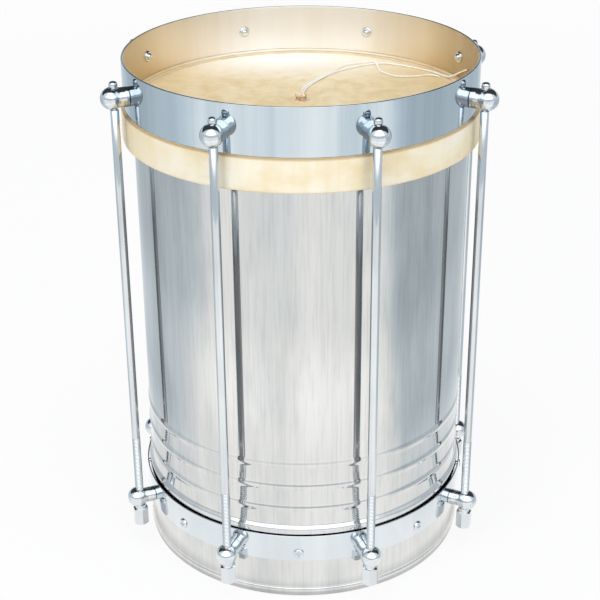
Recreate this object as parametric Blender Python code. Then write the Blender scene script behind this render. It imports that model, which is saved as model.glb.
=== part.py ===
"""Cuica: a tall friction drum with eight full-length tension rods.

Metres, Z up. The drum stands on its open bottom rim at z = 0, centred on the Z axis.
The front is the side at -Y, azimuth 0; azimuth grows towards +X.
"""
import math

import bmesh
import bpy
import numpy as np
from mathutils import Matrix

MM = 0.001
GAP = 0.3                      # clearance between pieces that touch
SEGMENTS = 40                  # round the drum, a multiple of eight
COUNT = 8                      # rods, lugs, nuts and screws

# Shell
SHELL_R = 127.0
SHELL_WALL = 1.2
BEAD_Z = (118.2, 98.8, 79.4)
BEAD_HALF = 4.0
BEAD_RISE = 1.7
FOOT_STEP = 2.2                # the shell widens by this much below the beads
FOOT_TOP = 66.0
FOOT_SLOPE = 5.0
FOOT_R = SHELL_R + FOOT_STEP
RIM_PROUD = 0.7                # the rolled bottom rim, outside the foot
RIM_HIGH = 8.6
SKIN_Z = 362.8                 # playing surface of the skin
SKIN_T = 0.8
SHELL_TOP = SKIN_Z - SKIN_T - GAP

# Flesh hoop, and the skin lapped round it
FLESH_WALL = 5.9
FLESH_INNER = SHELL_R + SKIN_T + 2.0 * GAP
FLESH_OUTER = FLESH_INNER + FLESH_WALL
LAP_R = FLESH_OUTER + GAP + SKIN_T      # outside of the lap
LAP_RISE = 2.5                 # top of the lap above the playing surface
LAP_HIGH = 25.2
LAP_TOP = SKIN_Z + LAP_RISE
LAP_BOTTOM = LAP_TOP - LAP_HIGH
LAP_EDGE_R = FLESH_INNER + 1.0          # where the lapped edge ends, on top of the flesh hoop

# Counter hoop
HOOP_INSET = 1.9               # the hoop's outside lies this far within the lap's
HOOP_R = LAP_R - HOOP_INSET
HOOP_WALL = 1.7
HOOP_HIGH = 35.7
UPPER_LUG_DROP = 19.4          # lug axis below the hoop's top edge
HOOP_BOTTOM = LAP_TOP + GAP
HOOP_TOP = HOOP_BOTTOM + HOOP_HIGH
UPPER_LUG_Z = HOOP_TOP - UPPER_LUG_DROP

# Lower band
BAND_WALL = 1.0
BAND_WIDTH = 22.6
BAND_STAND = 1.2               # the band stands off the foot by this much
BAND_INNER = FOOT_R + BAND_STAND
BAND_OUTER = BAND_INNER + BAND_WALL
BAND_LOW = 34.7
BAND_HIGH = BAND_LOW + BAND_WIDTH
LOWER_LUG_RISE = 7.5           # lug axis above the band's lower edge
LOWER_LUG_Z = BAND_LOW + LOWER_LUG_RISE

# Lugs, rods, nuts
UPPER_LUG_R = 7.4              # straight part of an upper lug
LOWER_LUG_R = 6.1
LUG_BALL_R = 8.3
LUG_TIP = 10.1                 # from the rod axis out to the tip of the ball
LUG_BALL_X = LUG_TIP - LUG_BALL_R
LUG_REACH = 10.3               # from the hoop's outside to the rod axis
ROD_CIRCLE = HOOP_R + LUG_REACH
ROD_R = 3.2
THREAD_R = 3.1
THREAD_LONG = 79.8
ROD_HOLE_R = ROD_R + 0.4
ROD_NECK_R = 2.2               # the rod is turned down where it goes through an upper lug
NECK_HOLE_R = ROD_NECK_R + 0.35
ROD_HEAD_R = 3.2               # and headed over above the lug
ROD_HEAD_H = 5.2
SEAT_DROP = 1.2                # the flat seat cut in a lug, below its round side
NUT_FLATS = 11.2
NUT_LONG = 17.8
NUT_TOP = LOWER_LUG_Z - LUG_BALL_R + SEAT_DROP - GAP
NUT_LOW = NUT_TOP - NUT_LONG
NUT_NECK_R = 4.6
NUT_NECK_H = 2.9
NUT_BORE_R = THREAD_R + 0.45
ROD_END = NUT_LOW + 2.5
HEAD_SEAT_R = ROD_HEAD_R + 0.8
NUT_SEAT_R = NUT_NECK_R + 0.6

# Bolts and screws
BOLT_R = 2.2
BOLT_HOLE_R = BOLT_R + 0.4
BOLT_HEAD_R = 4.4
BOLT_IN_LUG = 4.8              # how far a hoop bolt goes into its lug
BLIND_BORE = BOLT_IN_LUG + 0.8
SCREW_R = 2.0
SCREW_HEAD_R = 4.0
SCREW_HEAD_H = 2.0

# Tied nub, binding, strings, stick
NUB_R = 5.0
NUB_H = 6.5
NECK_R = 2.9
BINDING_R = 0.5
STRING_R = 0.7
SWING_Z = SKIN_Z + 2.0         # where the stick swings, in the neck of the nub
STICK_R = 3.4
STICK_LONG = 272.8             # from the swing point to the lower end
STICK_NECK_R = 1.3
STICK_KNOB_R = 2.5


def clear_scene():
    for item in list(bpy.data.objects):
        bpy.data.objects.remove(item, do_unlink=True)


def material(name, colour, roughness, metallic=0.0):
    mat = bpy.data.materials.new(name)
    mat.use_nodes = True
    shader = mat.node_tree.nodes["Principled BSDF"]
    shader.inputs["Base Color"].default_value = (*colour, 1.0)
    shader.inputs["Roughness"].default_value = roughness
    shader.inputs["Metallic"].default_value = metallic
    return mat


def add_object(name, mesh, mat, at=(0.0, 0.0, 0.0), turn=0.0):
    obj = bpy.data.objects.new(name, mesh)
    bpy.context.scene.collection.objects.link(obj)
    obj.location = [v * MM for v in at]
    obj.rotation_euler = (0.0, 0.0, turn)
    if mat is not None and not mesh.materials:
        mesh.materials.append(mat)
    return obj


def profile_mesh(name, points, closed):
    """A line of points (radius, height) in the XZ plane, in millimetres."""
    mesh = bpy.data.meshes.new(name)
    verts = [(r * MM, 0.0, z * MM) for r, z in points]
    edges = [(i, i + 1) for i in range(len(points) - 1)]
    if closed:
        edges.append((len(points) - 1, 0))
    mesh.from_pydata(verts, edges, [])
    mesh.update()
    return mesh


def lathe(name, points, mat, closed=True, steps=SEGMENTS):
    """Turn a profile once round Z with a Screw modifier."""
    obj = add_object(name, profile_mesh(name, points, closed), mat)
    screw = obj.modifiers.new("turn", "SCREW")
    screw.axis = "Z"
    screw.angle = 2.0 * math.pi
    screw.steps = steps
    screw.render_steps = steps
    screw.use_merge_vertices = True
    screw.merge_threshold = 0.00001
    screw.use_smooth_shade = True
    return obj


def spun(points, steps, start=0.0):
    """A turned bmesh: the profile goes from the axis to the axis."""
    bm = bmesh.new()
    row = [bm.verts.new((r * MM * math.cos(start), r * MM * math.sin(start), z * MM))
           for r, z in points]
    edges = [bm.edges.new((row[i], row[i + 1])) for i in range(len(row) - 1)]
    bmesh.ops.spin(bm, geom=row + edges, axis=(0, 0, 1), cent=(0, 0, 0),
                   angle=2.0 * math.pi, steps=steps, use_merge=True)
    bmesh.ops.remove_doubles(bm, verts=bm.verts, dist=0.000005)
    bmesh.ops.recalc_face_normals(bm, faces=bm.faces)
    return bm


def finish_mesh(name, bm, mat, sharp=35.0):
    mesh = bpy.data.meshes.new(name)
    bm.to_mesh(mesh)
    bm.free()
    mesh.materials.append(mat)
    mesh.polygons.foreach_set("use_smooth", [True] * len(mesh.polygons))
    mesh.set_sharp_from_angle(angle=math.radians(sharp))
    return mesh


def lying(bm):
    """Lay a turned piece down: its axis goes from Z to X."""
    bmesh.ops.transform(bm, matrix=Matrix.Rotation(math.pi / 2.0, 4, "Y"), verts=bm.verts)
    return bm


def baked(obj, name, mat, sharp=35.0):
    """The finished mesh of an object and its modifiers; the object is removed."""
    graph = bpy.context.evaluated_depsgraph_get()
    mesh = bpy.data.meshes.new_from_object(obj.evaluated_get(graph))
    mesh.name = name
    mesh.materials.clear()
    mesh.materials.append(mat)
    mesh.polygons.foreach_set("use_smooth", [True] * len(mesh.polygons))
    mesh.set_sharp_from_angle(angle=math.radians(sharp))
    bpy.data.objects.remove(obj, do_unlink=True)
    return mesh


def cut(obj, cutter):
    mod = obj.modifiers.new("cut", "BOOLEAN")
    mod.operation = "DIFFERENCE"
    mod.solver = "EXACT"
    mod.object = cutter
    return mod


def hidden(obj):
    obj.hide_render = True
    obj.display_type = "WIRE"
    return obj


def azimuths(half_step):
    """Eight azimuths in degrees, from the front, going towards +X."""
    step = 360.0 / COUNT
    return [step * (i + (0.5 if half_step else 0.0)) for i in range(COUNT)]


def at_azimuth(radius, degrees, z):
    a = math.radians(degrees)
    return (radius * math.sin(a), -radius * math.cos(a), z)


def turn_to(degrees):
    """The turn about Z that points local +X outwards at an azimuth."""
    return math.radians(degrees - 90.0)


def radial_cutter(name, places, low, high, radius, sides=8):
    """One mesh of several radial pins, for the holes of a ring."""
    bm = bmesh.new()
    for degrees, z in places:
        a = math.radians(degrees)
        out = Matrix(((-math.cos(a), 0.0, math.sin(a)), (-math.sin(a), 0.0, -math.cos(a)),
                      (0.0, -1.0, 0.0))).to_4x4()
        mid = at_azimuth((low + high) / 2.0, degrees, z)
        matrix = Matrix.Translation([v * MM for v in mid]) @ out
        matrix = matrix @ Matrix.Rotation(math.pi / sides, 4, "Z")
        bmesh.ops.create_cone(bm, cap_ends=True, segments=sides, radius1=radius * MM,
                              radius2=radius * MM, depth=(high - low) * MM, matrix=matrix)
    bmesh.ops.recalc_face_normals(bm, faces=bm.faces)
    mesh = bpy.data.meshes.new(name)
    bm.to_mesh(mesh)
    bm.free()
    return hidden(add_object(name, mesh, None))


def offset_path(points, distance):
    """The same open path moved sideways, to the left of its direction."""
    pts = np.array(points, float)
    step = np.diff(pts, axis=0)
    step /= np.linalg.norm(step, axis=1)[:, None]
    normal = np.stack([-step[:, 1], step[:, 0]], axis=1)
    first = np.vstack([normal[:1], normal])
    last = np.vstack([normal, normal[-1:]])
    mitre = first + last
    mitre /= (mitre * last).sum(axis=1)[:, None]
    return pts + mitre * distance


def bead_points(z, radius, rise, half, count):
    """Points down one bead, from its top to its bottom, on a half cosine."""
    out = []
    for i in range(count):
        t = -1.0 + 2.0 * i / (count - 1)
        out.append((radius + rise * 0.5 * (1.0 + math.cos(math.pi * t)), z - half * t))
    return out


def build_shell(steel):
    inner = SHELL_R - SHELL_WALL
    outer = [(inner + 0.2, SHELL_TOP), (SHELL_R - 0.5, SHELL_TOP), (SHELL_R, SHELL_TOP - 1.0)]
    for z in BEAD_Z:
        outer += bead_points(z, SHELL_R, BEAD_RISE, BEAD_HALF, 5)
    lip = FOOT_R + RIM_PROUD
    slope_end = FOOT_TOP - FOOT_SLOPE
    outer += [(SHELL_R, FOOT_TOP), (FOOT_R, slope_end), (FOOT_R, RIM_HIGH),
              (lip, RIM_HIGH - 3.4), (lip - 1.0, 0.0), (inner + FOOT_STEP, 0.0)]
    back = [(inner + FOOT_STEP, slope_end - 0.5), (inner, FOOT_TOP - 0.5)]
    for z in reversed(BEAD_Z):
        back += bead_points(z, inner, BEAD_RISE, BEAD_HALF, 3)[::-1]
    shell = lathe("shell", outer + back, steel)
    places = [(a, LOWER_LUG_Z) for a in azimuths(False) + azimuths(True)]
    cut(shell, radial_cutter("shell_holes", places, inner, FOOT_R + 3.0, BOLT_HOLE_R))
    return shell


def build_band(chrome):
    edge = 0.45
    points = [(BAND_OUTER - edge, BAND_HIGH), (BAND_OUTER, BAND_HIGH - edge),
              (BAND_OUTER, BAND_LOW + edge), (BAND_OUTER - edge, BAND_LOW),
              (BAND_INNER, BAND_LOW), (BAND_INNER, BAND_HIGH)]
    band = lathe("lower_band", points, chrome)
    places = [(a, LOWER_LUG_Z) for a in azimuths(False) + azimuths(True)]
    cut(band, radial_cutter("band_holes", places, BAND_INNER - 3.0, BAND_OUTER + 3.0,
                            BOLT_HOLE_R))
    return band


def build_counter_hoop(chrome):
    inner = HOOP_R - HOOP_WALL
    points = [(inner + 0.4, HOOP_TOP), (HOOP_R - 0.4, HOOP_TOP), (HOOP_R, HOOP_TOP - 0.6),
              (HOOP_R, HOOP_BOTTOM), (inner, HOOP_BOTTOM), (inner, HOOP_TOP - 0.6)]
    hoop = lathe("counter_hoop", points, chrome)
    places = [(a, UPPER_LUG_Z) for a in azimuths(True)]
    cut(hoop, radial_cutter("hoop_holes", places, inner - 3.0, HOOP_R + 3.0, BOLT_HOLE_R))
    return hoop


def skin_centre_line():
    """Middle of the skin's thickness: nub, flat, bearing edge, down, round and over."""
    half = SKIN_T / 2.0
    flat = SKIN_Z - half
    inner = SHELL_R + GAP + half
    outer = LAP_R - half
    low = LAP_BOTTOM + half
    high = LAP_TOP - half
    nub = [(0.0, flat + NUB_H), (2.6, flat + NUB_H - 0.35), (NUB_R - half, flat + NUB_H - 1.5),
           (NECK_R - half, flat + NUB_H - 2.7), (NECK_R - half, flat + 0.9), (4.4, flat)]
    plane = [(inner / 2.0, flat), (inner - 0.9, flat)]
    edge = [(inner, flat - 0.9)]
    down = [(inner, low + 0.9), (inner + 0.9, low)]
    under = [(outer - 1.0, low), (outer, low + 1.0)]
    up = [(outer, high - 1.0), (outer - 1.0, high)]
    return nub + plane + edge + down + under + up + [(LAP_EDGE_R, high)]


def build_skin(hide):
    line = skin_centre_line()
    top = offset_path(line, SKIN_T / 2.0)
    bottom = offset_path(line, -SKIN_T / 2.0)
    top[0, 0] = bottom[0, 0] = 0.0
    points = [tuple(p) for p in top] + [tuple(p) for p in bottom[::-1]]
    return lathe("skin", points, hide, closed=False)


def build_flesh_hoop(wood):
    inner = FLESH_INNER
    outer = FLESH_OUTER
    low = LAP_BOTTOM + SKIN_T + GAP
    high = LAP_TOP - SKIN_T - GAP
    ease = 1.2
    points = [(inner, high), (outer - ease, high), (outer, high - ease), (outer, low + ease),
              (outer - ease, low), (inner + ease, low), (inner, low + ease)]
    return lathe("flesh_hoop", points, wood)


def lug_profile(base, back, shank):
    """From the base to the tip, as (radius, distance out from the rod axis)."""
    ball = LUG_BALL_R
    joint = LUG_BALL_X - math.sqrt(ball ** 2 - shank ** 2)
    turns = [math.radians(v) for v in (-20.0, 8.0, 36.0, 64.0)]
    dome = [(ball * math.cos(t), LUG_BALL_X + ball * math.sin(t)) for t in turns]
    return back + [(shank, base), (shank, joint)] + dome + [(0.0, LUG_TIP)]


def build_lug_mesh(name, metal, base, back, shank, hole, seat_r, seat_side, blind):
    """A round lug lying along X, its rod hole along Z at the origin."""
    bm = lying(spun(lug_profile(base, back, shank), 12, start=math.pi / 12.0))
    mesh = finish_mesh(name + "_blank", bm, metal)
    lug = add_object(name + "_blank", mesh, metal)
    seat = LUG_BALL_R - SEAT_DROP
    far = LUG_BALL_R + 4.0
    tool = [(0.0, -far), (hole, -far), (hole, seat), (seat_r, seat), (seat_r, far), (0.0, far)]
    if seat_side < 0:
        tool = [(r, -z) for r, z in tool]
    cutter = hidden(add_object("rod_hole", finish_mesh("rod_hole", spun(tool, 10), metal), None))
    cut(lug, cutter)
    tools = [cutter]
    if blind > 0.0:
        pin = [(0.0, base - 2.0), (BOLT_HOLE_R, base - 2.0), (BOLT_HOLE_R, base + blind),
               (0.0, base + blind + 0.8)]
        bore = add_object("bolt_hole", finish_mesh("bolt_hole", lying(spun(pin, 8)), metal), None)
        cut(lug, hidden(bore))
        tools.append(bore)
    done = baked(lug, name, metal)
    for item in tools:
        bpy.data.objects.remove(item, do_unlink=True)
    return done


def build_lugs(metal):
    facet = math.cos(math.pi / SEGMENTS)
    base = HOOP_R * facet + 0.15 - ROD_CIRCLE
    mesh = build_lug_mesh("upper_lug", metal, base, [(0.0, base)], UPPER_LUG_R, NECK_HOLE_R,
                          HEAD_SEAT_R, 1, BLIND_BORE)
    for i, a in enumerate(azimuths(True)):
        add_object("upper_lug_%d" % (i + 1), mesh, metal,
                   at_azimuth(ROD_CIRCLE, a, UPPER_LUG_Z), turn_to(a))
    base = BAND_OUTER * facet + 0.15 - ROD_CIRCLE
    inside = (FOOT_R - SHELL_WALL) * facet - GAP - ROD_CIRCLE
    back = [(0.0, inside - 3.2), (3.6, inside - 2.2), (4.6, inside), (BOLT_R, inside),
            (BOLT_R, base)]
    mesh = build_lug_mesh("lower_lug", metal, base, back, LOWER_LUG_R, ROD_HOLE_R, NUT_SEAT_R,
                          -1, 0.0)
    for i, a in enumerate(azimuths(True)):
        add_object("lower_lug_%d" % (i + 1), mesh, metal,
                   at_azimuth(ROD_CIRCLE, a, LOWER_LUG_Z), turn_to(a))


def build_rods(metal):
    """Each rod's origin is on its axis at the lower end."""
    shoulder = UPPER_LUG_Z - LUG_BALL_R - GAP - ROD_END
    seat = UPPER_LUG_Z + LUG_BALL_R - SEAT_DROP + GAP - ROD_END
    top = seat + ROD_HEAD_H
    thread = THREAD_LONG
    points = [(0.0, 0.0), (THREAD_R, 0.0), (THREAD_R, thread), (ROD_R, thread + 0.5),
              (ROD_R, shoulder), (ROD_NECK_R, shoulder), (ROD_NECK_R, seat), (ROD_HEAD_R, seat),
              (ROD_HEAD_R, top - 1.8), (ROD_HEAD_R - 1.4, top - 0.3), (0.0, top)]
    mesh = finish_mesh("tension_rod", spun(points, 10), metal)
    for i, a in enumerate(azimuths(True)):
        add_object("tension_rod_%d" % (i + 1), mesh, metal,
                   at_azimuth(ROD_CIRCLE, a, ROD_END), turn_to(a))


def hex_ring(flats, shrink=0.0):
    """Twelve points round a hexagon, corners and the middles of its sides."""
    out = []
    for k in range(12):
        angle = math.pi * k / 6.0
        corner = k % 2 == 0
        radius = flats / 2.0 / math.cos(math.pi / 6.0) if corner else flats / 2.0
        out.append((angle, min(radius, flats / 2.0 / math.cos(math.pi / 6.0) - shrink)))
    return out


def ring_loft(stations, closed_ends):
    """Skin rings of twelve points: a station is (height, radius) or (height, ring)."""
    bm = bmesh.new()
    rings = []
    for z, shape in stations:
        ring = shape if isinstance(shape, list) else [(math.pi * k / 6.0, shape)
                                                      for k in range(12)]
        rings.append([bm.verts.new((r * MM * math.cos(a), r * MM * math.sin(a), z * MM))
                      for a, r in ring])
    pairs = list(zip(rings, rings[1:]))
    if not closed_ends:
        pairs.append((rings[-1], rings[0]))
    for low, high in pairs:
        for k in range(12):
            n = (k + 1) % 12
            bm.faces.new((low[k], low[n], high[n], high[k]))
    if closed_ends:
        bm.faces.new(rings[0][::-1])
        bm.faces.new(rings[-1])
    bmesh.ops.recalc_face_normals(bm, faces=bm.faces)
    return bm


def build_nuts(metal):
    """Tall hexagonal sleeve nuts with a round neck; origin at the neck's top, on the axis."""
    top = NUT_TOP
    low = -NUT_LONG
    hexagon = hex_ring(NUT_FLATS)
    eased = hex_ring(NUT_FLATS, 0.9)
    neck = -NUT_NECK_H
    stations = [(0.0, NUT_BORE_R), (0.0, NUT_NECK_R), (neck, NUT_NECK_R), (neck, eased),
                (neck - 1.4, hexagon), (low + 1.4, hexagon), (low, NUT_FLATS / 2.0 - 0.6),
                (low, NUT_BORE_R)]
    mesh = finish_mesh("tuning_nut", ring_loft(stations, False), metal, 25.0)
    for i, a in enumerate(azimuths(True)):
        add_object("tuning_nut_%d" % (i + 1), mesh, metal, at_azimuth(ROD_CIRCLE, a, top),
                   turn_to(a))


def build_hoop_bolts(metal):
    """Domed bolt and cup washer inside the hoop, its end in the lug."""
    wall = (HOOP_R - HOOP_WALL) * math.cos(math.pi / SEGMENTS) - 0.15
    end = HOOP_R + BOLT_IN_LUG - wall
    points = [(0.0, -3.6), (2.3, -2.8), (3.0, -1.4), (BOLT_HEAD_R, -0.7), (BOLT_HEAD_R, 0.0),
              (BOLT_R, 0.0), (BOLT_R, end), (0.0, end)]
    mesh = finish_mesh("hoop_bolt", lying(spun(points, 10)), metal)
    for i, a in enumerate(azimuths(True)):
        add_object("hoop_bolt_%d" % (i + 1), mesh, metal, at_azimuth(wall, a, UPPER_LUG_Z),
                   turn_to(a))


def build_band_screws(metal):
    """Cross-head screw through band and shell with its nut inside."""
    inside = FOOT_R - SHELL_WALL - BAND_OUTER
    head = 0.25
    hexagon = hex_ring(8.0)
    stations = [(inside - 4.2, SCREW_R), (inside - 3.6, hexagon), (inside - 0.5, hexagon),
                (inside - 0.5, SCREW_R), (head, SCREW_R), (head, SCREW_HEAD_R),
                (head + 1.2, SCREW_HEAD_R - 0.5), (head + SCREW_HEAD_H, SCREW_HEAD_R - 1.8)]
    screw = add_object("screw_blank", finish_mesh("screw_blank", lying(ring_loft(stations, True)),
                                                  metal), metal)
    bm = bmesh.new()
    for size in ((4.6, 1.0), (1.0, 4.6)):
        box = bmesh.ops.create_cube(bm, size=1.0)
        bmesh.ops.transform(bm, matrix=Matrix.Diagonal((3.0 * MM, size[0] * MM, size[1] * MM, 1.0)),
                            verts=box["verts"])
    bmesh.ops.translate(bm, vec=((head + SCREW_HEAD_H + 0.6) * MM, 0.0, 0.0), verts=bm.verts)
    tool = bpy.data.meshes.new("cross")
    bm.to_mesh(tool)
    bm.free()
    cross = hidden(add_object("cross", tool, None))
    mod = cut(screw, cross)
    mod.use_self = True
    mesh = baked(screw, "band_screw", metal)
    bpy.data.objects.remove(cross, do_unlink=True)
    for i, a in enumerate(azimuths(False)):
        add_object("band_screw_%d" % (i + 1), mesh, metal, at_azimuth(BAND_OUTER, a, LOWER_LUG_Z),
                   turn_to(a))


def tube(name, points, radius, mat, sides_resolution=2, cyclic=False):
    """A round cord along points in millimetres."""
    curve = bpy.data.curves.new(name, "CURVE")
    curve.dimensions = "3D"
    curve.bevel_depth = radius * MM
    curve.bevel_resolution = sides_resolution
    curve.use_fill_caps = True
    line = curve.splines.new("POLY")
    line.points.add(len(points) - 1)
    for point, (x, y, z) in zip(line.points, points):
        point.co = (x * MM, y * MM, z * MM, 1.0)
    line.use_cyclic_u = cyclic
    line.use_smooth = True
    curve.materials.append(mat)
    obj = bpy.data.objects.new(name, curve)
    bpy.context.scene.collection.objects.link(obj)
    return obj


def rounded_route(corners, spacing):
    """A smooth line through hand-chosen points, sampled at an even spacing."""
    pts = np.array(corners, float)
    ext = np.vstack([2 * pts[0] - pts[1], pts, 2 * pts[-1] - pts[-2]])
    out = []
    for i in range(1, len(ext) - 2):
        p0, p1, p2, p3 = ext[i - 1:i + 3]
        for t in np.linspace(0.0, 1.0, 24, endpoint=False):
            out.append(0.5 * (2 * p1 + (p2 - p0) * t + (2 * p0 - 5 * p1 + 4 * p2 - p3) * t ** 2
                              + (3 * p1 - p0 - 3 * p2 + p3) * t ** 3))
    out.append(pts[-1])
    out = np.array(out)
    run = np.concatenate([[0.0], np.cumsum(np.linalg.norm(np.diff(out, axis=0), axis=1))])
    count = max(2, int(round(run[-1] / spacing)) + 1)
    even = np.linspace(0.0, run[-1], count)
    return np.stack([np.interp(even, run, out[:, k]) for k in range(3)], axis=1)


LIE = SKIN_Z + STRING_R + GAP
STRING_ONE = ((1.0, 5.4, LIE + 1.6), (1.0, 10.0, LIE + 1.1), (1.2, 18.0, LIE + 0.2),
              (4.0, 30.0, LIE), (9.4, 43.5, LIE), (20.0, 63.5, LIE), (28.5, 74.6, LIE),
              (40.7, 84.3, LIE), (50.5, 90.6, LIE), (65.7, 94.4, LIE), (80.7, 87.3, LIE),
              (95.2, 77.6, LIE), (104.4, 69.2, LIE), (111.0, 60.5, LIE),
              (115.2, 54.6, LIE + 1.2), (118.6, 50.8, LIE + 3.6), (121.4, 46.2, LIE + 6.6),
              (126.1, 32.6, LIE + 13.2))
STRING_TWO = ((-0.9, 5.4, LIE + 1.6), (-0.9, 10.0, LIE + 1.1), (-0.7, 18.4, LIE + 0.2),
              (2.2, 30.8, LIE), (7.7, 44.4, LIE), (18.2, 64.4, LIE), (25.6, 77.0, LIE),
              (33.6, 89.6, LIE), (44.8, 95.6, LIE), (53.0, 95.4, LIE + 1.2),
              (56.8, 91.9, LIE + 2.1), (58.9, 85.6, LIE + 0.9), (61.6, 72.2, LIE),
              (73.3, 59.4, LIE), (87.1, 58.6, LIE), (100.3, 62.4, LIE), (107.6, 58.4, LIE))


def build_tie(thread, cord):
    """Thread wound round the neck of the nub, and its two loose tails."""
    turns = 1.5
    radius = NECK_R + BINDING_R + GAP
    pitch = 2.0 * BINDING_R + 0.15
    low = SKIN_Z + BINDING_R + 0.65
    per_turn = 12
    path = []
    for i in range(int(turns * per_turn) + 1):
        a = 2.0 * math.pi * i / per_turn
        path.append((radius * math.cos(a), radius * math.sin(a), low + pitch * i / per_turn))
    tube("tie_binding", path, BINDING_R, thread, 1)
    tube("tie_string_1", rounded_route(STRING_ONE, 4.2), STRING_R, cord, 1)
    tube("tie_string_2", rounded_route(STRING_TWO, 4.2), STRING_R, cord, 1)


def build_stick(bamboo):
    """The stick's origin is on the skin's axis, at the neck where it swings."""
    knob = SKIN_Z + NUB_H - SKIN_T - 0.7 - SWING_Z
    shoulder = SKIN_Z - SKIN_T - 0.7 - SWING_Z
    low = -STICK_LONG
    knot = (-92.0, -186.0)
    points = [(0.0, knob), (1.5, knob - 0.1), (STICK_KNOB_R, knob - 0.45),
              (STICK_NECK_R, knob - 1.5), (STICK_NECK_R, shoulder), (STICK_R, shoulder - 0.7)]
    for z in knot:
        points += [(STICK_R, z + 4.0), (STICK_R + 0.55, z), (STICK_R, z - 4.0)]
    points += [(STICK_R, low + 0.9), (STICK_R - 0.9, low), (0.0, low)]
    mesh = finish_mesh("stick", spun(points, 12), bamboo)
    add_object("stick", mesh, bamboo, (0.0, 0.0, SWING_Z))


def main():
    clear_scene()
    shell_steel = material("shell_steel", (0.78, 0.77, 0.74), 0.16, 1.0)
    chrome = material("chrome", (0.80, 0.84, 0.88), 0.08, 1.0)
    plated = material("plated_steel", (0.74, 0.77, 0.80), 0.16, 1.0)
    hide = material("hide", (0.90, 0.83, 0.66), 0.55)
    thread = material("thread", (0.82, 0.68, 0.60), 0.75)
    cord = material("cord", (0.93, 0.93, 0.90), 0.70)
    hoop_wood = material("hoop_wood", (0.62, 0.46, 0.28), 0.60)
    bamboo = material("bamboo", (0.80, 0.66, 0.40), 0.45)
    build_shell(shell_steel)
    build_band(chrome)
    build_counter_hoop(chrome)
    build_flesh_hoop(hoop_wood)
    build_skin(hide)
    build_lugs(chrome)
    build_rods(plated)
    build_nuts(plated)
    build_hoop_bolts(chrome)
    build_band_screws(chrome)
    build_tie(thread, cord)
    build_stick(bamboo)


main()
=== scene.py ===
# %% [markdown]
# # A cuica: the friction drum, finished for the camera
#
# A cuica is a tall steel drum with one skin. A thin bamboo stick hangs from the middle of
# the skin, inside the shell. The player reaches in from below and rubs the stick with a
# damp cloth, and the skin sings. Eight long rods pull the counter hoop down on the skin.
#
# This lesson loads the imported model, which fixes every place and size, and then makes each
# visible piece again as a smooth surface with a finish of its own.

import math

import bpy
import numpy as np
from mathutils import Matrix, Vector


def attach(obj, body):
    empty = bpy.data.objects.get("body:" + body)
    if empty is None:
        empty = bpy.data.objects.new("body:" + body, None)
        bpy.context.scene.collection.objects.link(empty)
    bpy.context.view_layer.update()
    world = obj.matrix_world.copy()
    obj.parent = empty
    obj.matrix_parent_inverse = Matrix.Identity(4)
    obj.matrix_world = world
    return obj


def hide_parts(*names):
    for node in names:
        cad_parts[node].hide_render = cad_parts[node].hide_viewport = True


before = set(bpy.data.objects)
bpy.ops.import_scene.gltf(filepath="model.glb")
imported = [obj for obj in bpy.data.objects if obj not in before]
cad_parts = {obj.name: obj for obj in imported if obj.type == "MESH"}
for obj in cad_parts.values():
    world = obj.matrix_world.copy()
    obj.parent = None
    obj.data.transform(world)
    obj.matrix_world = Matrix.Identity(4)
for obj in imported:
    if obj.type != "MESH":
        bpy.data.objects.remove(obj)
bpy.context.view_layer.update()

# %% [markdown]
# ## The camera
#
# The picture was taken from a little above, so the far half of the skin shows inside the
# hoop. The place of the eye, its aim and the lens were worked out from points that are easy
# to name in the picture: the rod heads, the nuts and the ends of the hoop's ellipse. The
# frame leans by a third of a degree, so the axes are set one by one.

# %% Set up the camera
PICTURE, SENSOR = 600.0, 36.0
EYE = Vector((0.03210, -1.03727, 0.69920))
AIM = Vector((0.0, 0.0, 0.1952))
LEAN = math.radians(0.3622)
FOCAL_IN_PIXELS = 1430.97
AXIS_X = 302.52


def placed(name, data):
    """A new object for some data, linked to the scene."""
    made = bpy.data.objects.new(name, data)
    bpy.context.scene.collection.objects.link(made)
    return made


camera_data = bpy.data.cameras.new("camera")
camera = placed("camera", camera_data)
bpy.context.scene.camera = camera
back = (EYE - AIM).normalized()
level = Vector((0.0, 0.0, 1.0)).cross(back).normalized()
rise = back.cross(level)
side = level * math.cos(LEAN) - rise * math.sin(LEAN)
top = rise * math.cos(LEAN) + level * math.sin(LEAN)
camera.matrix_world = Matrix.Translation(EYE) @ Matrix((side, top, back)).transposed().to_4x4()
camera_data.sensor_fit = "HORIZONTAL"
camera_data.sensor_width = SENSOR
camera_data.lens = FOCAL_IN_PIXELS * SENSOR / PICTURE
camera_data.shift_x = (PICTURE / 2.0 - AXIS_X) / PICTURE
camera_data.clip_start = 0.05
camera_data.clip_end = 60.0
print("lens in mm:", round(camera_data.lens, 2), "distance in m:", round((EYE - AIM).length, 3))

# %% [markdown]
# ## Surfaces from numpy
#
# Nearly every piece of a drum is turned, bent round the drum or drawn along a line. Each is
# a surface of two parameters: one runs round, the other along a profile. The helpers below
# take whole arrays of points, so no loop goes over single vertices. A grid of points becomes
# four-sided faces, and a row that shrinks to one point becomes a fan round a pole.

# %% Helpers for grids and meshes
MM = 0.001


def round_faces(rows, columns, close_rows=False):
    """Corner (row, column) joins its neighbours; the last column joins the first."""
    i = np.arange(rows if close_rows else rows - 1)[:, None]
    j = np.arange(columns)[None, :]
    here, after = i * columns, ((i + 1) % rows) * columns
    right = (j + 1) % columns
    return np.stack([here + j, here + right, after + right, after + j], -1).reshape(-1, 4)


def pole_faces(ring_start, columns, pole):
    """A fan of triangles from one ring of points to a single point."""
    j = np.arange(columns)
    return np.stack([ring_start + j, ring_start + (j + 1) % columns, np.full(columns, pole)], -1)


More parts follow.
